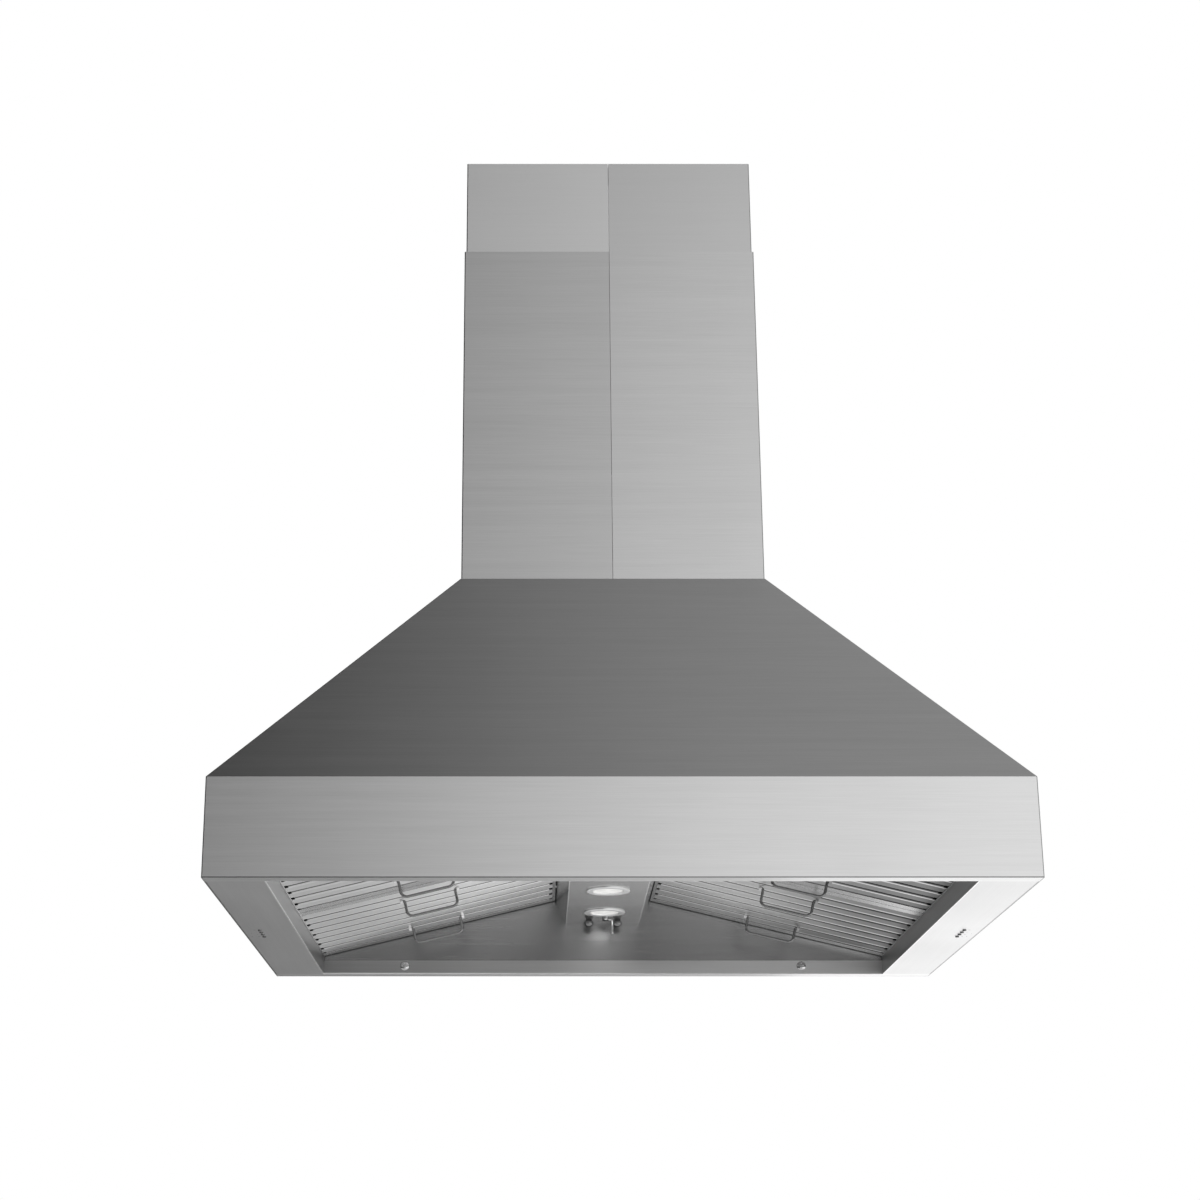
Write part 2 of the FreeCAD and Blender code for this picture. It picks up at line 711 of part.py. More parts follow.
def filter_baffles():
    clear = FILTER_SHEET + SLAT_CLEAR
    u0, u1 = FILTER_U0 + clear, FILTER_U1 - clear
    first = -(SLAT_COUNT - 1) * SLAT_PITCH / 2
    pieces = []
    for k in range(SLAT_COUNT):
        v = first + k * SLAT_PITCH
        slat = channel(u0, u1, v, SLAT_W, FILTER_SHEET, SLAT_LEG, True).cut(drain_notches(v))
        for spread in (-HANDLE_SPREAD, HANDLE_SPREAD):
            if abs(spread - v) < SLAT_W / 2:
                for lug in handle_lugs(spread):
                    slat = slat.fuse(lug)
        pieces.append(slat)
    for k in range(SLAT_COUNT - 1):
        v = first + (k + 0.5) * SLAT_PITCH
        top = FILTER_T - FILTER_SHEET
        pieces.append(channel(u0 + BAFFLE_SHORT, u1 - BAFFLE_SHORT, v, BAFFLE_W, top, BAFFLE_LEG, False))
    return Part.makeCompound(pieces)


def bail_handle(v):
    leg = HANDLE_LEGS / 2
    eye = leg + HANDLE_EYE_L
    low = HANDLE_AXIS - HANDLE_DROP + HANDLE_WIRE_R
    half = [(leg, low), (leg, HANDLE_AXIS), (eye, HANDLE_AXIS)]
    outline = [(-u, n) for u, n in reversed(half)] + half
    radii = [HANDLE_EYE_BEND_R, HANDLE_BEND_R, HANDLE_BEND_R, HANDLE_EYE_BEND_R]
    return bent_wire([(HANDLE_U + u, v, n) for u, n in outline], radii, HANDLE_WIRE_R)


def filters():
    frame, baffles = filter_frame(), filter_baffles()
    inner, outer = bail_handle(-HANDLE_SPREAD), bail_handle(HANDLE_SPREAD)
    for place, y in (("front", -FILTER_Y), ("rear", FILTER_Y)):
        near, far = (outer, inner) if y < 0 else (inner, outer)
        for side in ("left", "right"):
            left = side == "left"
            name = place + "_" + side
            save("filter_" + name + "_frame", place_filter(frame, left, y))
            save("filter_" + name + "_baffles", place_filter(baffles, left, y))
            save("handle_" + name + "_middle", place_filter(near, left, y))
            save("handle_" + name + "_end", place_filter(far, left, y))


# ---------------------------------------------------------------- controls


def buttons():
    for name, s in (("left", -1), ("right", 1)):
        for number, y in enumerate(BUTTON_YS, 1):
            x = s * BUTTON_X
            stem = rod(BUTTON_R, (x, y, -BUTTON_PROUD), UP, BUTTON_TOP + BUTTON_PROUD)
            face = [e for e in stem.Edges if e.BoundBox.ZMax < 0]
            stem = stem.makeFillet(BUTTON_ROUND, face)
            collar = rod(BUTTON_COLLAR_R, (x, y, RAIL_SHEET + REST_GAP), UP, BUTTON_COLLAR_T)
            save("button_" + name + "_" + str(number), stem.fuse(collar))


def control_boards():
    boards = []
    for s in SIGNS:
        x = s * BUTTON_X
        board = box(x - BOARD_W / 2, x + BOARD_W / 2, -BOARD_L / 2, BOARD_L / 2, BOARD_Z, BOARD_Z + BOARD_T)
        for y in BUTTON_YS:
            half = SWITCH_W / 2
            board = board.fuse(box(x - half, x + half, y - half, y + half, BOARD_Z - SWITCH_H, BOARD_Z))
        for y in (-STANDOFF_Y, STANDOFF_Y):
            board = board.fuse(rod(STANDOFF_R, (x, y, RAIL_SHEET), UP, BOARD_Z - RAIL_SHEET))
        boards.append(board)
    save("control_boards", *boards)


# ---------------------------------------------------------------- blower


def top_frame():
    low = CANOPY_H - CANOPY_SHEET - TOP_FRAME_T
    plate = centred(TOP_FRAME_HALF, TOP_FRAME_HALF, low, low + TOP_FRAME_T)
    half = TOP_FRAME_OPENING / 2
    save("top_frame", plate.cut(centred(half, half, low, low + TOP_FRAME_T)))


def scroll_outline(grow):
    """The volute's closed outline in the YZ plane, its wall moved out by grow."""
    y0, z0, step = WHEEL_Y, WHEEL_Z, SCROLL_STEP
    r1, r2, r3 = (SCROLL_R + k * step + grow for k in range(3))
    top = CANOPY_H - CANOPY_SHEET - TOP_FRAME_T

    def point(cy, cz, radius, degrees):
        turn = math.radians(degrees)
        return Vector(0, cy + radius * math.cos(turn), cz + radius * math.sin(turn))

    lead = 90 + math.degrees(math.asin(grow / r1))
    arcs = [
        (y0, z0, r1, lead, 180),
        (y0 + step, z0, r2, 180, 270),
        (y0 + step, z0 + step, r3, 270, 360),
    ]
    edges = []
    for cy, cz, radius, start, end in arcs:
        a, b, c = (point(cy, cz, radius, turn) for turn in (start, (start + end) / 2, end))
        edges.append(Part.Arc(a, b, c).toShape())
    first = point(y0, z0, r1, lead)
    last = point(y0 + step, z0 + step, r3, 360)
    corners = [last, Vector(0, last.y, top), Vector(0, first.y, top), first]
    for a, b in zip(corners, corners[1:]):
        edges.append(Part.LineSegment(a, b).toShape())
    return Part.Face(Part.Wire(Part.__sortEdges__(edges)))


def blower_scroll():
    half = SCROLL_HALF_W + SCROLL_SHEET
    solid = scroll_outline(SCROLL_SHEET).extrude(Vector(-2 * half, 0, 0))
    solid.translate(Vector(half, 0, 0))
    hollow = scroll_outline(0).extrude(Vector(-2 * SCROLL_HALF_W, 0, 0))
    hollow.translate(Vector(SCROLL_HALF_W, 0, 0))
    inlets = rod(INLET_R, (-half, WHEEL_Y, WHEEL_Z), ALONG_X, 2 * half)
    save("blower_scroll", solid.cut(hollow).cut(inlets))


def blower_motor():
    body = rod(MOTOR_R, (MOTOR_FROM, WHEEL_Y, WHEEL_Z), ALONG_X, MOTOR_TO - MOTOR_FROM)
    shaft = rod(SHAFT_R, (MOTOR_TO, WHEEL_Y, WHEEL_Z), ALONG_X, SHAFT_END - MOTOR_TO)
    outside = -(SCROLL_HALF_W + SCROLL_SHEET)
    neck_x = outside - ARM_T
    neck = rod(MOTOR_NECK_R, (neck_x, WHEEL_Y, WHEEL_Z), ALONG_X, MOTOR_FROM - neck_x)
    motor = body.fuse(shaft).fuse(neck)
    for k in range(3):
        y0, y1 = WHEEL_Y - ARM_W / 2, WHEEL_Y + ARM_W / 2
        arm = box(neck_x, outside, y0, y1, WHEEL_Z, WHEEL_Z + ARM_REACH)
        arm.rotate(Vector(0, WHEEL_Y, WHEEL_Z), ALONG_X, ARM_FIRST + 120 * k)
        motor = motor.fuse(arm)
    save("blower_motor", motor)


def impeller():
    centre = (HUB_X, WHEEL_Y, WHEEL_Z)
    hub = rod(WHEEL_R, centre, ALONG_X, HUB_T)
    hub = hub.fuse(rod(HUB_BOSS_R, centre, ALONG_X, SHAFT_END - HUB_X))
    wheel = hub.cut(rod(SHAFT_R + PIN_CLEARANCE, centre, ALONG_X, SHAFT_END - HUB_X))
    for x in (-WHEEL_HALF_W, WHEEL_HALF_W - WHEEL_RING_T):
        wheel = wheel.fuse(ring(WHEEL_R, WHEEL_R - WHEEL_RING, (x, WHEEL_Y, WHEEL_Z), ALONG_X, WHEEL_RING_T))
    z0 = WHEEL_Z + WHEEL_R - WHEEL_RING + BLADE_INSET
    y0, y1 = WHEEL_Y - BLADE_T / 2, WHEEL_Y + BLADE_T / 2
    blade = box(-WHEEL_HALF_W, WHEEL_HALF_W, y0, y1, z0, z0 + BLADE_H)
    blade.rotate(Vector(0, WHEEL_Y, z0 + WHEEL_RING / 2), ALONG_X, BLADE_SKEW)
    blades = []
    for k in range(BLADE_COUNT):
        turned = blade.copy()
        turned.rotate(Vector(0, WHEEL_Y, WHEEL_Z), ALONG_X, 360.0 * k / BLADE_COUNT)
        blades.append(turned)
    save("impeller", wheel.fuse(blades))


# ---------------------------------------------------------------- duct collar


def duct_collar():
    base = CANOPY_H - CANOPY_SHEET
    inner = DUCT_R - COLLAR_WALL
    collar = centred(COLLAR_BASE_HALF, COLLAR_BASE_HALF, base, base + COLLAR_BASE_T)
    collar = collar.fuse(rod(DUCT_R, (0, 0, base), UP, COLLAR_BASE_T + COLLAR_H))
    collar = collar.cut(rod(inner, (0, 0, base), UP, COLLAR_BASE_T + COLLAR_H))
    stop_top = DAMPER_Z - KNUCKLE_R - REST_GAP
    stop_start = (0, 0, stop_top - COLLAR_WALL)
    stop = ring(inner + COLLAR_WALL / 2, inner - FLAP_STOP_W, stop_start, UP, COLLAR_WALL)
    collar = collar.fuse(stop)
    rod_hole = rod(DAMPER_ROD_R, (0, -DUCT_R, DAMPER_Z), ALONG_Y, 2 * DUCT_R)
    save("duct_collar", collar.cut(rod_hole))


def damper_rod():
    save("damper_rod", rod(DAMPER_ROD_R, (0, -DUCT_R, DAMPER_Z), ALONG_Y, 2 * DUCT_R))


def damper_flap(side):
    low = DAMPER_Z - KNUCKLE_R
    disc = rod(FLAP_R, (0, 0, low), UP, FLAP_T)
    flap = disc.common(box(side * FLAP_GAP, side * FLAP_R, -FLAP_R, FLAP_R, low, low + FLAP_T))
    first = -2 if side < 0 else -1
    for k in range(2):
        y0 = (first + 2 * k) * KNUCKLE_SPACE
        barrel = ring(KNUCKLE_R, DAMPER_ROD_R + PIN_CLEARANCE, (0, y0, DAMPER_Z), ALONG_Y, KNUCKLE_L)
        leaf = box(side * DAMPER_ROD_R, side * LEAF_END, y0, y0 + KNUCKLE_L, low, low + FLAP_T)
        leaf = leaf.cut(rod(DAMPER_ROD_R + PIN_CLEARANCE, (0, y0, DAMPER_Z), ALONG_Y, KNUCKLE_L))
        flap = flap.fuse(barrel).fuse(leaf)
    return flap.removeSplitter()


def dampers():
    save("damper_flap_left", damper_flap(-1))
    save("damper_flap_right", damper_flap(1))


def junction_box():
    base = CANOPY_H - CANOPY_SHEET
    half = JBOX_L / 2
    x0 = -JBOX_X - JBOX_W
    shell = box(x0, -JBOX_X, -half, half, base, base + JBOX_H)
    wall = JBOX_WALL
    top = base + JBOX_H
    hollow = box(x0 + wall, -JBOX_X - wall, wall - half, half - wall, base + wall, top - wall)
    shell = shell.cut(hollow)
    knockout = rod(KNOCKOUT_R, (x0 + JBOX_W / 2, 0, top - wall), UP, wall)
    save("junction_box", shell.cut(knockout))


def main():
    os.makedirs("parts", exist_ok=True)
    ceiling_plate()
    upper_posts()
    lower_posts()
    post_bolts()
    chimneys()
    canopy_panels()
    front_and_rear_rails()
    side_rails()
    liner_walls()
    liner_screws()
    light_box()
    lamps()
    light_box_knobs()
    light_box_latch()
    filter_catches()
    filters()
    buttons()
    control_boards()
    top_frame()
    blower_scroll()
    blower_motor()
    impeller()
    duct_collar()
    damper_rod()
    dampers()
    junction_box()


main()
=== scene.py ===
import math

import bmesh
import bpy
from mathutils import Matrix, Vector


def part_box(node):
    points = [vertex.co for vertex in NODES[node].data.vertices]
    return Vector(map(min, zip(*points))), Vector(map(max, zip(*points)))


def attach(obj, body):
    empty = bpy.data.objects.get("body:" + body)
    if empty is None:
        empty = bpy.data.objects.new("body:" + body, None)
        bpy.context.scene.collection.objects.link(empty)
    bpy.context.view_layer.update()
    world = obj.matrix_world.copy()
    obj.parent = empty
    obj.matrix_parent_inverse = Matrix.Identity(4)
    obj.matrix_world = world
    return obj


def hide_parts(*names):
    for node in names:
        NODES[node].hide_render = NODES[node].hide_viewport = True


MM = 0.001
X_AXIS, Y_AXIS, Z_AXIS = 0, 1, 2

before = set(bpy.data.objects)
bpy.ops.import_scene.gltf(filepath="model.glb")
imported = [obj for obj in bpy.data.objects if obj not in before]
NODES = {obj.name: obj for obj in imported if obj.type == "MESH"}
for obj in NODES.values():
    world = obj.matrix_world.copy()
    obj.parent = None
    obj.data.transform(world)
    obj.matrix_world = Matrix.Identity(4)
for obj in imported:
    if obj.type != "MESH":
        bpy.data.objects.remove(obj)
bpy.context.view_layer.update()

# Places on the hood, read from the frame
PANEL_THICK = 1.2 * MM
RIM_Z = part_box("rim_front_rail")[0].z
HOOD_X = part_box("rim_front_rail")[1].x + PANEL_THICK
HOOD_Y = -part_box("canopy_front_panel")[0].y
LOWER_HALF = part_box("lower_chimney_right")[1].x
UPPER_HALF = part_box("upper_chimney_right")[1].x
LIP_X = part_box("rim_right_rail")[0].x
LIP_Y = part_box("rim_rear_rail")[0].y
RAIL_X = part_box("rim_right_rail")[1].x
LIGHT_BOX_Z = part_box("light_box")[0].z
LIGHT_BOX_HALF = 60 * MM
LAMP_YS = (-306 * MM, -117 * MM, 117 * MM, 306 * MM)

# The filters' slope, the axis they swing on, and their slats
FILTER_RISE = 91.2
FILTER_RUN = 378.2
FILTER_SLOPE = math.atan2(FILTER_RISE, FILTER_RUN)
FILTER_PIVOT_X = 453.8 * MM
FILTER_PIVOT_Z = RIM_Z + 28.88 * MM
FILTER_Y = sum(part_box("filter_rear_left_frame")[k].y for k in (0, 1)) / 2
SLAT_PITCH = 45 * MM

# Camera, measured from the middle of the rim's lower face, in metres
CAMERA_X = -0.112
CAMERA_BACK = 3.18
CAMERA_DROP = 0.52
CAMERA_PITCH = math.radians(17.92)
CAMERA_LENS = 65.85
CAMERA_SENSOR = 36.0
CAMERA_SHIFT_X = 0.0548
CAMERA_FAR = 60.0

# The floor, and how its own light rises towards its edge: (from, to, first strength, last strength)
FLOOR_DROP = 1.75
FLOOR_R = 4.0
FLOOR_FADE = (FLOOR_R * 0.55, FLOOR_R * 0.98, 0.42, 1.0)
FLOOR_MOTTLE = 6.0
FLOOR_DARK = 0.82
FLOOR_LIGHT = 0.86
FLOOR_ROUGH = 0.8


# ---------------------------------------------------------------- node helpers


class Tree:
    """Short calls for building one node tree."""

    def __init__(self, tree):
        self.tree = tree
        tree.nodes.clear()

    def add(self, kind, **settings):
        node = self.tree.nodes.new(kind)
        for key, value in settings.items():
            setattr(node, key, value)
        return node

    def link(self, out, into):
        self.tree.links.new(out, into)

    def math(self, op, a, b=None, clamp=False):
        node = self.add("ShaderNodeMath", operation=op, use_clamp=clamp)
        for socket, value in zip(node.inputs, (a, b)):
            self.feed(socket, value)
        return node.outputs[0]

    def feed(self, socket, value):
        if value is None:
            return
        if isinstance(value, bpy.types.NodeSocket):
            self.link(value, socket)
        else:
            socket.default_value = value

    def ramp(self, value, low, high, to_low, to_high, smooth=True):
        node = self.add("ShaderNodeMapRange")
        node.interpolation_type = "SMOOTHSTEP" if smooth else "LINEAR"
        for socket, v in zip(node.inputs, (value, low, high, to_low, to_high)):
            self.feed(socket, v)
        return node.outputs[0]

    def noise(self, coords, stretch, detail=3.0, rough=0.55):
        mapping = self.add("ShaderNodeMapping")
        mapping.inputs["Scale"].default_value = stretch
        self.link(coords, mapping.inputs["Vector"])
        node = self.add("ShaderNodeTexNoise")
        node.inputs["Scale"].default_value = 1.0
        node.inputs["Detail"].default_value = detail
        node.inputs["Roughness"].default_value = rough
        self.link(mapping.outputs[0], node.inputs["Vector"])
        return node.outputs["Fac"]

    def blend(self, factor, a, b):
        node = self.add("ShaderNodeMix", data_type="FLOAT")
        for socket, value in zip(node.inputs[0:1] + node.inputs[2:4], (factor, a, b)):
            self.feed(socket, value)
        return node.outputs[0]

    def mix(self, factor, dark, light):
        node = self.add("ShaderNodeMix", data_type="RGBA")
        self.feed(node.inputs["Factor"], factor)
        node.inputs["A"].default_value = (*dark, 1)
        node.inputs["B"].default_value = (*light, 1)
        return node.outputs["Result"]


def new_material(name):
    material = bpy.data.materials.new(name)
    material.use_nodes = True
    tree = Tree(material.node_tree)
    out = tree.add("ShaderNodeOutputMaterial")
    shader = tree.add("ShaderNodeBsdfPrincipled")
    tree.link(shader.outputs[0], out.inputs[0])
    coords = tree.add("ShaderNodeTexCoord").outputs["Object"]
    return material, tree, shader, coords


def bump(tree, shader, height, strength, distance):
    node = tree.add("ShaderNodeBump")
    node.inputs["Strength"].default_value = strength
    node.inputs["Distance"].default_value = distance
    tree.link(height, node.inputs["Height"])
    tree.link(node.outputs[0], shader.inputs["Normal"])


# ---------------------------------------------------------------- materials

# Brushed steel's grain and streaks: noise scale along the brushing and across it
GRAIN_LENGTH = 9.0
GRAIN_WIDTH = 620.0
GRAIN_SHARE = 0.6
STREAK_LENGTH = 2.2
STREAK_WIDTH = 95.0
STREAK_SHARE = 0.4
CLOUD_SCALE = 5.0
LINES_LOW = 0.32
LINES_HIGH = 0.68
LINES_ROUGH = 0.10
CLOUD_ROUGH = 0.08
RELIEF_DEPTH = 0.4 * MM
PEEL_DEPTH = 0.3 * MM
FINE_DEPTH = 0.2 * MM

# Painted shade as dark lines along sheet edges and corners, painted highlights as bright lines where a
# sheet is folded
EDGE_SHADE_W = 1.7 * MM
EDGE_SHADE = 0.30
FOLD_HIGHLIGHT_W = 1.5 * MM
FOLD_HIGHLIGHT_TONE = 0.96

# Painted shade on inside faces, darker towards the left
SHADE_FROM_X = -0.45
SHADE_TO_X = 0.30
INSIDE_FROM = 1.5 * MM
INSIDE_TO = 3.0 * MM

# Slats: a painted highlight along the rolled edge, painted shade in the gaps and on the duller outer ends
SLAT_HIGHLIGHT_AT = 12.5 * MM
SLAT_HIGHLIGHT_CORE = 2.0 * MM
SLAT_HIGHLIGHT_END = 4.5 * MM
SLAT_HIGHLIGHT_INNER = 0.3
SLAT_OUTER_X = 0.04
SLAT_INNER_X = 0.30
GAP_FROM = 1.0 * MM
GAP_TO = 2.4 * MM
GAP_SHADE = 0.10


def along(axis, length, width):
    return tuple(length if k == axis else width for k in range(3))


def split_xyz(tree, coords):
    split = tree.add("ShaderNodeSeparateXYZ")
    tree.link(coords, split.inputs[0])
    return split.outputs


def near_edges(tree, coords, edges, width):
    """1 on the surface close to any of the edges, else 0.
    An edge is where two planes (axis, place) cross, mirrored about 0 across X and Y."""
    places = split_xyz(tree, coords)

    def near(axis, place):
        value = places[axis]
        if axis != Z_AXIS:
            value = tree.math("ABSOLUTE", value)
        gap = tree.math("ABSOLUTE", tree.math("SUBTRACT", value, place))
        return tree.ramp(gap, width * 0.6, width, 1.0, 0.0)

    found = None
    for one, other in edges:
        line = tree.math("MINIMUM", near(*one), near(*other))
        found = line if found is None else tree.math("MAXIMUM", found, line)
    return found


def slope_coords(tree, coords):
    """Coordinates that lie along a filter: up its slope, along the hood, and up from its lower face.
    Both sides of the hood read alike."""
    places = split_xyz(tree, coords)
    inward = tree.math("SUBTRACT", FILTER_PIVOT_X, tree.math("ABSOLUTE", places[X_AXIS]))
    up = tree.math("SUBTRACT", places[Z_AXIS], FILTER_PIVOT_Z)
    cos, sin = math.cos(FILTER_SLOPE), math.sin(FILTER_SLOPE)
    climb = tree.math("ADD", tree.math("MULTIPLY", inward, cos), tree.math("MULTIPLY", up, sin))
    depth = tree.math("SUBTRACT", tree.math("MULTIPLY", up, cos), tree.math("MULTIPLY", inward, sin))
    joined = tree.add("ShaderNodeCombineXYZ")
    for socket, value in zip(joined.inputs, (climb, places[Y_AXIS], depth)):
        tree.link(value, socket)
    return joined.outputs[0]


def shade_to_left(tree, coords, shade, left_shade):
    """Paints shade on what is above the rim's lower face, darkening down to left_shade at the hood's left
    end.
    """
    x, _, z = split_xyz(tree, coords)
    left_dimming = tree.ramp(x, SHADE_FROM_X, SHADE_TO_X, left_shade, 1.0, smooth=False)
    inside = tree.ramp(z, RIM_Z + INSIDE_FROM, RIM_Z + INSIDE_TO, 0.0, 1.0)
    return tree.math("MULTIPLY", shade, tree.blend(inside, 1.0, left_dimming))


def slat_shade(tree, flat, shade, slat_highlight, slat_outer_shade):
    """Adds painted highlights along the slats' rolled edges, and painted shade on their outer ends and in
    the gaps between them.
    """
    climb, length_y, depth = split_xyz(tree, flat)
    across = tree.math("SUBTRACT", tree.math("ABSOLUTE", length_y), FILTER_Y)
    step = tree.math("FRACT", tree.math("DIVIDE", across, SLAT_PITCH))
    off = tree.math("MULTIPLY", tree.math("SUBTRACT", step, 0.5), SLAT_PITCH)
    from_edge = tree.math("ABSOLUTE", tree.math("SUBTRACT", off, SLAT_HIGHLIGHT_AT))
    edge = tree.ramp(from_edge, SLAT_HIGHLIGHT_CORE, SLAT_HIGHLIGHT_END, 1.0, 0.0)
    inner = tree.ramp(climb, SLAT_OUTER_X, SLAT_INNER_X, 0.0, 1.0)
    shade = tree.math("MULTIPLY", shade, tree.blend(inner, slat_outer_shade, 1.0))
    highlight_gain = tree.blend(inner, slat_highlight, slat_highlight * SLAT_HIGHLIGHT_INNER)
    shade = tree.math("ADD", shade, tree.math("MULTIPLY", edge, highlight_gain))
    return tree.math("MULTIPLY", shade, tree.ramp(depth, GAP_FROM, GAP_TO, 1.0, GAP_SHADE))


def brushed_steel(
    name, axis, tone=0.60, rough=0.30, contrast=0.035, relief=0.10, left_shade=1.0, shaded_edges=(), fold_highlights=(),
    filter_part=False, slat_highlight=0.0, slat_outer_shade=1.0,
):
    """Satin stainless sheet: fine grain and longer streaks along one axis, and faint clouding.
    The surface has painted shade along its edges, painted highlights along its folds, and painted shade
    towards the left. A filter part's grain follows the filter's slope, and one given a slat highlight is a
    slat."""
    material, tree, shader, coords = new_material(name)
    flat = slope_coords(tree, coords) if filter_part else coords
    grain = tree.noise(flat, along(axis, GRAIN_LENGTH, GRAIN_WIDTH), 4.0, 0.7)
    streak = tree.noise(flat, along(axis, STREAK_LENGTH, STREAK_WIDTH), 3.0, 0.6)
    cloud = tree.noise(coords, (CLOUD_SCALE,) * 3, 3.0, 0.5)
    grain_part = tree.math("MULTIPLY", grain, GRAIN_SHARE)
    streak_part = tree.math("MULTIPLY", streak, STREAK_SHARE)
    lines = tree.math("ADD", grain_part, streak_part)
    shade = tree.ramp(lines, LINES_LOW, LINES_HIGH, tone - contrast, tone + contrast, smooth=False)
    # Painted shade: darker lines along the given edges
    if shaded_edges:
        dark = near_edges(tree, coords, shaded_edges, EDGE_SHADE_W)
        shade = tree.math("MULTIPLY", shade, tree.ramp(dark, 0.0, 1.0, 1.0, EDGE_SHADE))
    # Painted highlights: brighter lines along the given folds
    if fold_highlights:
        bright = near_edges(tree, coords, fold_highlights, FOLD_HIGHLIGHT_W)
        shade = tree.math("ADD", shade, tree.math("MULTIPLY", bright, FOLD_HIGHLIGHT_TONE - tone))
    # Painted shade, darker towards the hood's left end
    if left_shade < 1.0:
        shade = shade_to_left(tree, coords, shade, left_shade)
    # Slats: painted highlights on the rolled edges, painted shade on the outer ends and in the gaps
    if slat_highlight:
        shade = slat_shade(tree, flat, shade, slat_highlight, slat_outer_shade)
    grey = tree.add("ShaderNodeCombineColor")
    for socket in grey.inputs[:3]:
        tree.link(shade, socket)
    tree.link(grey.outputs[0], shader.inputs["Base Color"])
    lines_part = tree.math("MULTIPLY", lines, LINES_ROUGH)
    cloud_part = tree.math("MULTIPLY", cloud, CLOUD_ROUGH)
    spread = tree.math("ADD", lines_part, cloud_part)
    middle = (LINES_ROUGH + CLOUD_ROUGH) / 2
    tree.link(tree.math("ADD", spread, rough - middle), shader.inputs["Roughness"])
    shader.inputs["Metallic"].default_value = 1.0
    bump(tree, shader, lines, relief, RELIEF_DEPTH)
    return material


# Zinc: its crystals, and how far they vary in tone and roughness
SPANGLE_SCALE = 70.0
SPANGLE_DARK = (-0.06, -0.05, -0.04)
SPANGLE_LIGHT = (0.05, 0.06, 0.07)
SPANGLE_SMOOTH = 0.08
SPANGLE_ROUGH = 0.10
ZINC_METAL = 0.9
ZINC_GRIT_SCALE = 400.0
ZINC_RELIEF = 0.06

# Wire: its drawing lines and its smudges
WIRE_GRAIN_LENGTH = 30.0
WIRE_GRAIN_WIDTH = 900.0
WIRE_DARK = 0.05
WIRE_LIGHT = 0.04
WIRE_RELIEF = 0.05
SMUDGE_SCALE = 60.0
SMUDGE_ROUGH = 0.08

# Paint: its orange peel and its dust
PEEL_SCALE = 500.0
PEEL_RELIEF = 0.10
DUST_SCALE = 25.0
DUST_LIGHT = 0.03
DUST_SMOOTH = 0.05
DUST_ROUGH = 0.08

# Lamp glass
FROST_SCALE = 900.0
FROST_RELIEF = 0.15
FROST_DARK = (0.86, 0.86, 0.84)
FROST_LIGHT = (0.95, 0.95, 0.94)
FROST_SMOOTH = 0.18
FROST_ROUGH = 0.32
LAMP_COLOUR = (1.0, 0.99, 0.96, 1)
LAMP_STRENGTH = 0.30
GLASS_COAT = 0.4

# Circuit board
TRACK_SCALE = (300.0, 60.0, 300.0)
TRACK_RELIEF = 0.1
MASK_GREEN = (0.02, 0.11, 0.05)
TRACK_GREEN = (0.05, 0.20, 0.09)
MASK_SMOOTH = 0.30
MASK_ROUGH = 0.42

# Where a noise's useful range starts and ends
NOISE_LOW = 0.3
NOISE_HIGH = 0.7


def galvanised(name, tone=0.56, rough=0.42):
    """Zinc-coated sheet with its crystal spangle."""
    material, tree, shader, coords = new_material(name)
    cells = tree.add("ShaderNodeTexVoronoi")
    cells.inputs["Scale"].default_value = SPANGLE_SCALE
    tree.link(coords, cells.inputs["Vector"])
    split = tree.add("ShaderNodeSeparateColor")
    tree.link(cells.outputs["Color"], split.inputs[0])
    spangle = split.outputs[0]
    dark = tuple(tone + change for change in SPANGLE_DARK)
    light = tuple(tone + change for change in SPANGLE_LIGHT)
    tree.link(tree.mix(spangle, dark, light), shader.inputs["Base Color"])
    matt = tree.ramp(spangle, 0.0, 1.0, rough - SPANGLE_SMOOTH, rough + SPANGLE_ROUGH)
    tree.link(matt, shader.inputs["Roughness"])
    shader.inputs["Metallic"].default_value = ZINC_METAL
    bump(tree, shader, tree.noise(coords, (ZINC_GRIT_SCALE,) * 3), ZINC_RELIEF, RELIEF_DEPTH)
    return material


def polished(name, tone=0.72, rough=0.10, axis=X_AXIS, rim=1.0):
    """Bright wire or plated hardware, with faint drawing lines. A low rim darkens it at glancing angles."""
    material, tree, shader, coords = new_material(name)
    lines = tree.noise(coords, along(axis, WIRE_GRAIN_LENGTH, WIRE_GRAIN_WIDTH), 3.0, 0.6)
    smudge = tree.noise(coords, (SMUDGE_SCALE,) * 3, 2.0, 0.5)
    dark = (tone - WIRE_DARK,) * 3
    light = (tone + WIRE_LIGHT,) * 3
    tree.link(tree.mix(lines, dark, light), shader.inputs["Base Color"])
    matt = tree.ramp(smudge, NOISE_LOW, NOISE_HIGH, rough, rough + SMUDGE_ROUGH)
    tree.link(matt, shader.inputs["Roughness"])
    shader.inputs["Metallic"].default_value = 1.0
    shader.inputs["Specular Tint"].default_value = (rim, rim, rim, 1)
    bump(tree, shader, lines, WIRE_RELIEF, FINE_DEPTH)
    return material


def painted(name, colour, rough=0.45):
    """Powder coat with a fine orange peel."""
    material, tree, shader, coords = new_material(name)
    peel = tree.noise(coords, (PEEL_SCALE,) * 3, 2.0, 0.5)
    dust = tree.noise(coords, (DUST_SCALE,) * 3, 3.0, 0.6)
    lighter = tuple(min(1.0, c + DUST_LIGHT) for c in colour)
    tree.link(tree.mix(dust, colour, lighter), shader.inputs["Base Color"])
    matt = tree.ramp(dust, NOISE_LOW, NOISE_HIGH, rough - DUST_SMOOTH, rough + DUST_ROUGH)
    tree.link(matt, shader.inputs["Roughness"])
    bump(tree, shader, peel, PEEL_RELIEF, PEEL_DEPTH)
    return material


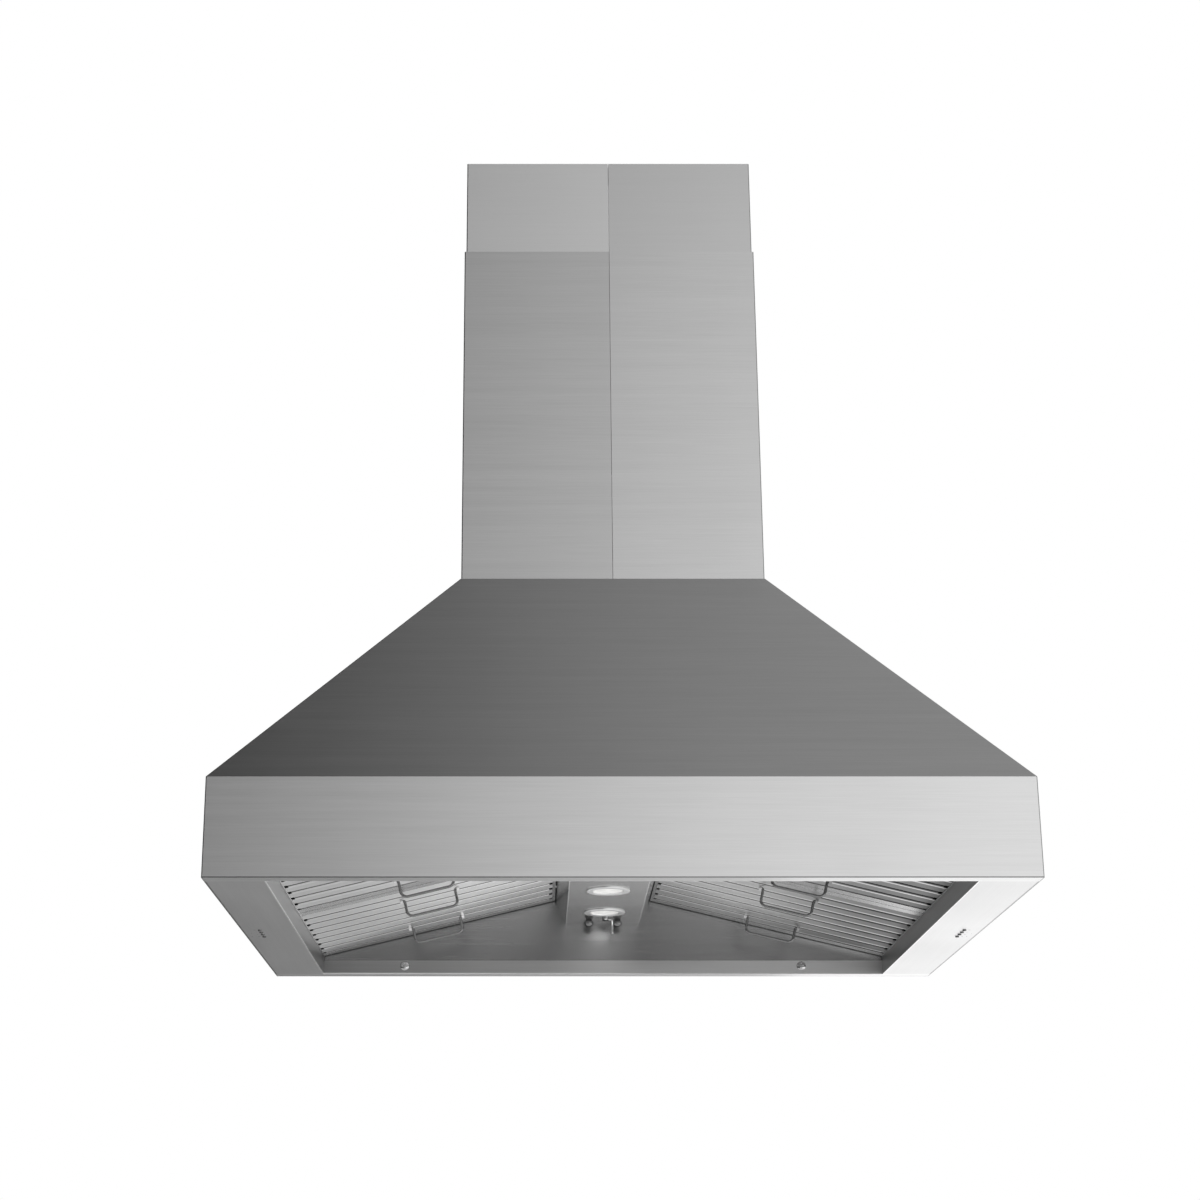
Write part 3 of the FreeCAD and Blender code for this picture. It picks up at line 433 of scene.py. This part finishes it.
def frosted_glass(name):
    """A lamp's frosted lens, faintly lit."""
    material, tree, shader, coords = new_material(name)
    frost = tree.noise(coords, (FROST_SCALE,) * 3, 2.0, 0.6)
    tree.link(tree.mix(frost, FROST_DARK, FROST_LIGHT), shader.inputs["Base Color"])
    matt = tree.ramp(frost, NOISE_LOW, NOISE_HIGH, FROST_SMOOTH, FROST_ROUGH)
    tree.link(matt, shader.inputs["Roughness"])
    shader.inputs["Emission Color"].default_value = LAMP_COLOUR
    shader.inputs["Emission Strength"].default_value = LAMP_STRENGTH
    shader.inputs["Coat Weight"].default_value = GLASS_COAT
    bump(tree, shader, frost, FROST_RELIEF, PEEL_DEPTH)
    return material


def circuit_board(name):
    """Green solder mask with faint copper tracks under it."""
    material, tree, shader, coords = new_material(name)
    tracks = tree.noise(coords, TRACK_SCALE, 1.0, 0.4)
    shade = tree.ramp(tracks, 0.48, 0.52, 0.0, 1.0)
    tree.link(tree.mix(shade, MASK_GREEN, TRACK_GREEN), shader.inputs["Base Color"])
    matt = tree.ramp(tracks, NOISE_LOW, NOISE_HIGH, MASK_SMOOTH, MASK_ROUGH)
    tree.link(matt, shader.inputs["Roughness"])
    bump(tree, shader, shade, TRACK_RELIEF, FINE_DEPTH)
    return material


# Planes as (axis, place), and the edges where two of them cross
FRONT_FACE = (Y_AXIS, HOOD_Y)
SIDE_FACE = (X_AXIS, HOOD_X)
RIM_FACE = (Z_AXIS, RIM_Z)
HEM = ((FRONT_FACE, RIM_FACE), (SIDE_FACE, RIM_FACE), (FRONT_FACE, SIDE_FACE))
LOWER_EDGES = (((X_AXIS, LOWER_HALF), (Y_AXIS, LOWER_HALF)),)
UPPER_EDGES = (((X_AXIS, UPPER_HALF), (Y_AXIS, UPPER_HALF)),)
RAIL_FOLD_Y = (((Y_AXIS, LIP_Y), RIM_FACE),)
RAIL_FOLD_X = (((X_AXIS, LIP_X), RIM_FACE),)
RAIL_EDGE = (((X_AXIS, RAIL_X), RIM_FACE),)
LIGHT_FOLD = (((X_AXIS, LIGHT_BOX_HALF), (Z_AXIS, LIGHT_BOX_Z)),)

# What the steel parts share
CHIMNEY = dict(axis=X_AXIS, rough=0.31, shaded_edges=LOWER_EDGES)
SLEEVE = dict(axis=X_AXIS, rough=0.36, contrast=0.015, shaded_edges=UPPER_EDGES)
CANOPY = dict(tone=0.59, rough=0.31, shaded_edges=HEM)
SLAT = dict(axis=X_AXIS, rough=0.38, contrast=0.03, relief=0.05, filter_part=True)

# The left and right chimney halves are lit and shaded copies of one steel: their different tones are
# painted light
LOWER_LEFT = brushed_steel("lower_left_grain_and_painted_light", tone=0.52, **CHIMNEY)
LOWER_RIGHT = brushed_steel("lower_right_grain_and_painted_light", tone=0.57, **CHIMNEY)
UPPER_LEFT = brushed_steel("upper_left_grain_and_painted_light", tone=0.67, **SLEEVE)
UPPER_RIGHT = brushed_steel("upper_right_grain_and_painted_light", tone=0.585, **SLEEVE)
# The canopy is darker along its hem edges and corners: painted shade
CANOPY_ACROSS = brushed_steel("canopy_grain_x_and_painted_shade", X_AXIS, **CANOPY)
CANOPY_DEEP = brushed_steel("canopy_grain_y_and_painted_shade", Y_AXIS, **CANOPY)
# Rails: painted shade darker towards the left and along the outer edge, painted highlights along the folds
RAIL_ACROSS = brushed_steel("rail_grain_x_and_painted_light", X_AXIS, tone=0.66, left_shade=0.38, fold_highlights=RAIL_FOLD_Y)
RAIL_DEEP = brushed_steel(
    "rail_grain_y_and_painted_light", Y_AXIS, tone=0.59, left_shade=0.62, shaded_edges=RAIL_EDGE, fold_highlights=RAIL_FOLD_X
)
# Liner walls: painted shade darker towards the left
LINER = brushed_steel("liner_grain_x_and_painted_shade", X_AXIS, tone=0.36, rough=0.26, relief=0.05, left_shade=0.54)
# Light box: painted highlights along its folds
LIGHT_STEEL = brushed_steel(
    "light_box_grain_and_painted_highlight", X_AXIS, tone=0.51, rough=0.24, contrast=0.015, relief=0.03, fold_highlights=LIGHT_FOLD
)
# Left and right slats are lit and shaded copies of one steel: their tones, highlights and outer-end shade
# are painted light
SLAT_LEFT = brushed_steel("left_slat_grain_and_painted_light", tone=0.95, slat_highlight=0.10, slat_outer_shade=0.64, **SLAT)
SLAT_RIGHT = brushed_steel("right_slat_grain_and_painted_light", tone=0.72, slat_highlight=0.60, slat_outer_shade=0.24, **SLAT)
FILTER_STEEL = brushed_steel(
    "filter_frame_grain", X_AXIS, tone=0.56, rough=0.26, relief=0.05, filter_part=True
)
WHEEL = brushed_steel("wheel_aluminium", X_AXIS, tone=0.64, rough=0.34)
ZINC_FRAME = galvanised("zinc_frame")
ZINC_SHEET = galvanised("zinc_sheet", tone=0.60, rough=0.36)
HOUSING = galvanised("lamp_housing", tone=0.52, rough=0.5)
CHROME = polished("bright_hardware", tone=0.50, rough=0.07, rim=0.05)
WIRE = polished("handle_wire", tone=0.24, rough=0.10, rim=0.10)
ZINC_BOLT = polished("zinc_bolt", tone=0.60, rough=0.22)
BUTTON_METAL = polished("button_metal", tone=0.16, rough=0.28, axis=Z_AXIS)
TRIM_RING = polished("lamp_ring", tone=0.90, rough=0.30, axis=Z_AXIS)
MOTOR_PAINT = painted("motor_paint", (0.035, 0.035, 0.04))
MARK_INK = painted("mark_ink", (0.03, 0.03, 0.03))
LENS = frosted_glass("lamp_lens")
BOARD = circuit_board("board_mask")

MATERIAL_OF = {
    "ceiling_plate": ZINC_FRAME,
    "upper_posts": ZINC_FRAME,
    "lower_posts": ZINC_FRAME,
    "top_frame": ZINC_FRAME,
    "post_bolts": ZINC_BOLT,
    "damper_rod": ZINC_BOLT,
    "upper_chimney_left": UPPER_LEFT,
    "upper_chimney_right": UPPER_RIGHT,
    "lower_chimney_left": LOWER_LEFT,
    "lower_chimney_right": LOWER_RIGHT,
    "canopy_front_panel": CANOPY_ACROSS,
    "canopy_rear_panel": CANOPY_ACROSS,
    "canopy_left_panel": CANOPY_DEEP,
    "canopy_right_panel": CANOPY_DEEP,
    "rim_front_rail": RAIL_ACROSS,
    "rim_rear_rail": RAIL_ACROSS,
    "rim_left_rail": RAIL_DEEP,
    "rim_right_rail": RAIL_DEEP,
    "front_liner_wall": LINER,
    "rear_liner_wall": LINER,
    "light_box": LIGHT_STEEL,
    "liner_screws": CHROME,
    "light_box_knobs": CHROME,
    "light_box_latch": CHROME,
    "filter_catches": CHROME,
    "lamp_bezels": TRIM_RING,
    "lamp_lenses": LENS,
    "lamp_housings": HOUSING,
    "control_boards": BOARD,
    "blower_scroll": ZINC_SHEET,
    "duct_collar": ZINC_SHEET,
    "junction_box": ZINC_SHEET,
    "damper_flap_left": ZINC_SHEET,
    "damper_flap_right": ZINC_SHEET,
    "blower_motor": MOTOR_PAINT,
    "impeller": WHEEL,
}
MATERIAL_BY_PART = (
    ("left_baffles", SLAT_LEFT),
    ("right_baffles", SLAT_RIGHT),
    ("_frame", FILTER_STEEL),
    ("handle_", WIRE),
    ("button_", BUTTON_METAL),
)


def material_for(node):
    if node in MATERIAL_OF:
        return MATERIAL_OF[node]
    for part, material in MATERIAL_BY_PART:
        if part in node:
            return material
    raise KeyError(node)


def dress_frame():
    for name, obj in NODES.items():
        material = material_for(name)
        for slot in obj.material_slots:
            slot.material = material


# ---------------------------------------------------------------- detail pieces


def piece(name, mesh, material, body="hood", smooth=True):
    mesh.materials.append(material)
    for face in mesh.polygons:
        face.use_smooth = smooth
    obj = bpy.data.objects.new(name, mesh)
    bpy.context.collection.objects.link(obj)
    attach(obj, body)
    return obj


def turned(profile, segments, wave=None):
    """A closed body turned about Z from (radius, height) points, first and last on the axis.
    wave(radius, height, angle) gives the radius and height to use instead."""
    bm = bmesh.new()
    rings = []
    for radius, height in profile:
        if radius < 1e-9:
            rings.append([bm.verts.new((0, 0, height))])
            continue
        ring = []
        for k in range(segments):
            angle = 2 * math.pi * k / segments
            r, h = wave(radius, height, angle) if wave else (radius, height)
            ring.append(bm.verts.new((r * math.cos(angle), r * math.sin(angle), h)))
        rings.append(ring)
    for low, high in zip(rings, rings[1:]):
        for k in range(segments):
            n = (k + 1) % segments
            corners = [low[k % len(low)], low[n % len(low)], high[n % len(high)], high[k % len(high)]]
            bm.faces.new(list(dict.fromkeys(corners)))
    bmesh.ops.recalc_face_normals(bm, faces=bm.faces)
    return bm


def to_mesh(name, *parts):
    """One mesh from several (bmesh, matrix) pairs."""
    mesh = bpy.data.meshes.new(name)
    whole = bmesh.new()
    for bm, matrix in parts:
        bm.transform(matrix)
        part = bpy.data.meshes.new("part")
        bm.to_mesh(part)
        whole.from_mesh(part)
        bpy.data.meshes.remove(part)
        bm.free()
    whole.to_mesh(mesh)
    whole.free()
    return mesh


def arc(radius, height, centre_h, start, end, steps):
    """Points on an ellipse about a centre on the axis, angles in degrees from outwards to up."""
    points = []
    for k in range(steps + 1):
        turn = math.radians(start + (end - start) * k / steps)
        points.append((radius * math.cos(turn), centre_h + height * math.sin(turn)))
    return points


SCREW_HEAD_R = 7.5 * MM
SCREW_CROWN_H = 2.6 * MM
SCREW_EDGE_H = 0.9 * MM
SCREW_SHANK_R = 2.5 * MM
SCREW_SHANK_L = 8.2 * MM
SCREW_STEPS = 22
CROSS_R = 3.6 * MM
CROSS_W = 0.75 * MM
CROSS_DEPTH = 1.5 * MM


def liner_screw_heads():
    """Pan heads with a cross recess, with the screw's shank behind."""
    low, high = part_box("liner_screws")
    screw_x = high.x - SCREW_HEAD_R
    screw_z = (low.z + high.z) / 2

    def recess(radius, height, angle):
        x = radius * math.cos(angle)
        y = radius * math.sin(angle)
        crossed = min(abs(x), abs(y)) < CROSS_W and radius < CROSS_R
        if crossed and height > CROSS_DEPTH:
            height -= CROSS_DEPTH
        return radius, height

    profile = []
    for k in range(SCREW_STEPS + 1):
        turn = math.pi / 2 * k / SCREW_STEPS
        profile.append((SCREW_HEAD_R * math.sin(turn), SCREW_EDGE_H + SCREW_CROWN_H * math.cos(turn)))
    profile += [(SCREW_HEAD_R, 0.0), (SCREW_SHANK_R, 0.0)]
    profile += [(SCREW_SHANK_R, -SCREW_SHANK_L), (0.0, -SCREW_SHANK_L)]
    parts = []
    for end in (-1, 1):
        turn = Matrix.Rotation(math.radians(90 * end), 4, "X")
        for side in (-1, 1):
            place = Matrix.Translation((side * screw_x, end * LIP_Y, screw_z))
            parts.append((turned(profile, 64, recess), place @ turn))
    obj = piece("liner_screw_heads", to_mesh("liner_screw_heads", *parts), CHROME)
    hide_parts("liner_screws")


KNOB_X = 23 * MM
KNOB_CENTRE_H = 6.3 * MM
KNOB_NECK_H = 1.6 * MM
KNOB_NECK_R = 4.6 * MM
KNOB_NECK_ANGLE = -52
KNOB_STUD_R = 2.5 * MM
KNOB_STUD_L = 10 * MM
KNURLS = 36
KNURL_DEPTH = 0.03
KNURL_FROM = 0.97


def thumb_screws():
    """Ball-headed thumb screws under the light box, finely knurled round the middle."""
    low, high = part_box("light_box_knobs")
    head_r = (high.y - low.y) / 2
    head_h = LIGHT_BOX_Z - low.z

    def knurl(radius, height, angle):
        if radius > head_r * KNURL_FROM:
            radius *= 1 - KNURL_DEPTH * (0.5 + 0.5 * math.cos(KNURLS * angle))
        return radius, height

    stud = [(0.0, -KNOB_STUD_L), (KNOB_STUD_R, -KNOB_STUD_L), (KNOB_STUD_R, 0.0), (KNOB_NECK_R, 0.0)]
    lower = arc(head_r, KNOB_CENTRE_H - KNOB_NECK_H, KNOB_CENTRE_H, KNOB_NECK_ANGLE, 0, 9)
    crown = arc(head_r, head_h - KNOB_CENTRE_H, KNOB_CENTRE_H, 0, 90, 18)[1:-1]
    profile = stud + lower + crown + [(0.0, head_h)]
    parts = []
    for side in (-1, 1):
        place = Matrix.Translation((side * KNOB_X, (low.y + high.y) / 2, LIGHT_BOX_Z))
        parts.append((turned(profile, 144, knurl), place @ Matrix.Rotation(math.pi, 4, "X")))
    obj = piece("thumb_screws", to_mesh("thumb_screws", *parts), WIRE)
    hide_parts("light_box_knobs")


LENS_RINGS = 7
LENS_EDGE = 0.3 * MM
LENS_FACE_SHARE = 0.97
LENS_RINGS_SHARE = 0.94
LENS_STEP_SHARE = 0.45
LENS_BULGE = 0.9 * MM
LENS_BULGE_SHARE = 0.2
LENS_GROOVE_H = 0.35 * MM
LENS_RIDGE_H = -0.25 * MM
LENS_MIDDLE_H = -0.5 * MM


def lamp_glasses():
    """Pressed glass lenses with ring steps and a bulged middle."""
    low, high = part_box("lamp_lenses")
    radius = high.x
    back_h = high.z - low.z
    profile = [(0.0, back_h), (radius, back_h), (radius, LENS_EDGE), (radius * LENS_FACE_SHARE, 0.0)]
    step = radius * LENS_RINGS_SHARE / LENS_RINGS
    for k in range(LENS_RINGS, 0, -1):
        outer = radius * LENS_RINGS_SHARE * k / LENS_RINGS
        bulge = LENS_BULGE * (1 - (outer / radius) ** 2) * LENS_BULGE_SHARE
        profile.append((outer, LENS_GROOVE_H - bulge))
        profile.append((outer - step * LENS_STEP_SHARE, LENS_RIDGE_H - bulge))
    profile.append((0.0, LENS_MIDDLE_H))
    parts = [(turned(profile, 64), Matrix.Translation((0, y, low.z))) for y in LAMP_YS]
    obj = piece("lamp_glasses", to_mesh("lamp_glasses", *parts), LENS)
    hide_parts("lamp_lenses")


INK_THICK = 0.05 * MM
INK_RAISE = 0.2
STROKE_W = 0.35 * MM
MARK_OUTWARD = 7.5 * MM
SIDE_MARK_X = 523 * MM
LONG_MARK_Y = 30 * MM
SHORT_MARK_Y = 2 * MM


def flat_shape(bm, outline, x, y, z, thick):
    """A thin printed shape from an outline in the rail's plane."""
    low = [bm.verts.new((x + px, y + py, z - thick)) for px, py in outline]
    high = [bm.verts.new((x + px, y + py, z + thick * INK_RAISE)) for px, py in outline]
    count = len(outline)
    bm.faces.new(low)
    bm.faces.new(high[::-1])
    for k in range(count):
        following = (k + 1) % count
        bm.faces.new((low[k], high[k], high[following], low[following]))


def spread(start, end, steps):
    return [math.radians(start + (end - start) * k / steps) for k in range(steps + 1)]


def band_outline(radius, width, start, end, steps=20):
    """A curved stroke about the origin, angles in degrees."""
    inner_r = radius - width
    outer = [(radius * math.cos(a), radius * math.sin(a)) for a in spread(start, end, steps)]
    inner = [(inner_r * math.cos(a), inner_r * math.sin(a)) for a in spread(end, start, steps)]
    return outer + inner


def bar(x0, y0, x1, y1):
    """A straight stroke, from its corners in mm."""
    return [(x0 * MM, y0 * MM), (x1 * MM, y0 * MM), (x1 * MM, y1 * MM), (x0 * MM, y1 * MM)]


def button_marks():
    """Small generic marks printed outboard of each push button."""
    for side, sign in (("left", -1), ("right", 1)):
        marks = []
        for k in range(1, 5):
            low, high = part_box("button_%s_%d" % (side, k))
            marks.append(((low.x + high.x) / 2 + sign * MARK_OUTWARD, (low.y + high.y) / 2))
        power, less, more, lamp = marks
        strokes = (
            (band_outline(1.6 * MM, STROKE_W, 60, 390), power),
            (bar(-0.2, 0.2, 0.2, 1.9), power),
            (bar(-1.5, -0.2, 1.5, 0.2), less),
            (bar(-1.5, -0.2, 1.5, 0.2), more),
            (bar(-0.2, 0.25, 0.2, 1.5), more),
            (bar(-0.2, -1.5, 0.2, -0.25), more),
            (band_outline(1.3 * MM, STROKE_W, -60, 240), lamp),
            (bar(-0.6, -1.8, 0.6, -1.4), lamp),
            (bar(-2.2, -4.0, -1.8, 4.0), (sign * SIDE_MARK_X, LONG_MARK_Y)),
            (bar(-0.4, -1.0, 0.4, 1.0), (sign * SIDE_MARK_X, SHORT_MARK_Y)),
        )
        bm = bmesh.new()
        for outline, (x, y) in strokes:
            flat_shape(bm, outline, x, y, RIM_Z, INK_THICK)
        bmesh.ops.recalc_face_normals(bm, faces=bm.faces)
        mesh = to_mesh("button_marks_" + side, (bm, Matrix.Identity(4)))
        piece("button_marks_" + side, mesh, MARK_INK, smooth=False)


def details():
    liner_screw_heads()
    thumb_screws()
    lamp_glasses()
    button_marks()


# ---------------------------------------------------------------- stage, light and camera


# What lights the steel, as (from, to, first strength, last strength)
FRONT_ACROSS = (-0.21, 0.17, 0.11, 1.38)
FRONT_UP = (0.10, 0.50, 1.08, 0.74)
BACK_ACROSS = (-0.14, 0.30, 0.13, 1.00)
ROOF_ACROSS = (-0.15, 0.09, 0.02, 0.39)
FRONT_TO_BACK = (-0.15, 0.15, 0.0, 1.0)
WALLS_TO_ROOF = (0.45, 0.85, 0.0, 1.0)
WHITE = (1, 1, 1, 1)

# Strengths in watts, sizes in metres
GLOW_POWER = 0.011
GLOW_SIZE = 0.04
GLOW_BELOW = 1 * MM
SIDE_LIGHT_PLACE = (1.12, 3.2, RIM_Z - 0.54)
SIDE_LIGHT_AIM = (0.5, 0.1, RIM_Z)
SIDE_LIGHT_WIDTH = 1.0
SIDE_LIGHT_HEIGHT = 0.8
SIDE_LIGHT_POWER = 1.9


def world_light():
    """A soft studio. The camera sees white. What lights the steel is dimmer to the left and overhead."""
    world = bpy.data.worlds.new("studio")
    bpy.context.scene.world = world
    world.use_nodes = True
    tree = Tree(world.node_tree)
    out = tree.add("ShaderNodeOutputWorld")
    direction = tree.add("ShaderNodeTexCoord").outputs["Generated"]
    x, y, z = split_xyz(tree, direction)
    front = tree.ramp(x, *FRONT_ACROSS)
    front = tree.math("MULTIPLY", front, tree.ramp(z, *FRONT_UP))
    back = tree.ramp(x, *BACK_ACROSS)
    roof = tree.ramp(x, *ROOF_ACROSS)
    walls = tree.blend(tree.ramp(y, *FRONT_TO_BACK), front, back)
    level = tree.blend(tree.ramp(z, *WALLS_TO_ROOF), walls, roof)
    lit = tree.add("ShaderNodeBackground")
    tree.link(level, lit.inputs["Strength"])
    white = tree.add("ShaderNodeBackground")
    white.inputs["Strength"].default_value = 1.0
    for node in (lit, white):
        node.inputs["Color"].default_value = WHITE
    seen = tree.add("ShaderNodeLightPath").outputs["Is Camera Ray"]
    mix = tree.add("ShaderNodeMixShader")
    tree.link(seen, mix.inputs[0])
    tree.link(lit.outputs[0], mix.inputs[1])
    tree.link(white.outputs[0], mix.inputs[2])
    tree.link(mix.outputs[0], out.inputs[0])


def floor():
    """A pale round floor that fades into the white background at its edge."""
    place = (0, 0, RIM_Z - FLOOR_DROP)
    bpy.ops.mesh.primitive_circle_add(vertices=96, radius=FLOOR_R, fill_type="NGON", location=place)
    disc = bpy.context.object
    disc.name = "studio_floor"
    material, tree, shader, coords = new_material("floor_pale")
    length = tree.add("ShaderNodeVectorMath", operation="LENGTH")
    tree.link(coords, length.inputs[0])
    fade = tree.ramp(length.outputs["Value"], *FLOOR_FADE)
    mottle = tree.noise(coords, (FLOOR_MOTTLE,) * 3)
    tree.link(tree.mix(mottle, (FLOOR_DARK,) * 3, (FLOOR_LIGHT,) * 3), shader.inputs["Base Color"])
    shader.inputs["Roughness"].default_value = FLOOR_ROUGH
    shader.inputs["Emission Color"].default_value = WHITE
    tree.link(fade, shader.inputs["Emission Strength"])
    disc.data.materials.append(material)


def softbox(name, place, aim, width, height, power):
    data = bpy.data.lights.new(name, "AREA")
    data.shape = "RECTANGLE"
    data.size = width
    data.size_y = height
    data.energy = power
    lamp = bpy.data.objects.new(name, data)
    bpy.context.collection.objects.link(lamp)
    lamp.location = place
    lamp.rotation_euler = (Vector(aim) - Vector(place)).to_track_quat("-Z", "Y").to_euler()
    lamp.visible_camera = False
    return lamp


def lights():
    world_light()
    glow_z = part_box("lamp_bezels")[0].z - GLOW_BELOW
    for k, y in enumerate(LAMP_YS, 1):
        below = (0, y, RIM_Z - 1)
        glow = softbox("lamp_glow_%d" % k, (0, y, glow_z), below, GLOW_SIZE, GLOW_SIZE, GLOW_POWER)
        glow.data.shape = "DISK"
    size = (SIDE_LIGHT_WIDTH, SIDE_LIGHT_HEIGHT)
    softbox("right_rear_low", SIDE_LIGHT_PLACE, SIDE_LIGHT_AIM, *size, SIDE_LIGHT_POWER)


def camera():
    data = bpy.data.cameras.new("photo_camera")
    data.lens = CAMERA_LENS
    data.sensor_width = CAMERA_SENSOR
    data.shift_x = CAMERA_SHIFT_X
    data.clip_end = CAMERA_FAR
    cam = bpy.data.objects.new("photo_camera", data)
    bpy.context.collection.objects.link(cam)
    cam.location = (CAMERA_X, -CAMERA_BACK, RIM_Z - CAMERA_DROP)
    cam.rotation_euler = (math.pi / 2 + CAMERA_PITCH, 0, 0)
    bpy.context.scene.camera = cam


bpy.context.scene.view_settings.view_transform = "Standard"
dress_frame()
details()
lights()
floor()
camera()
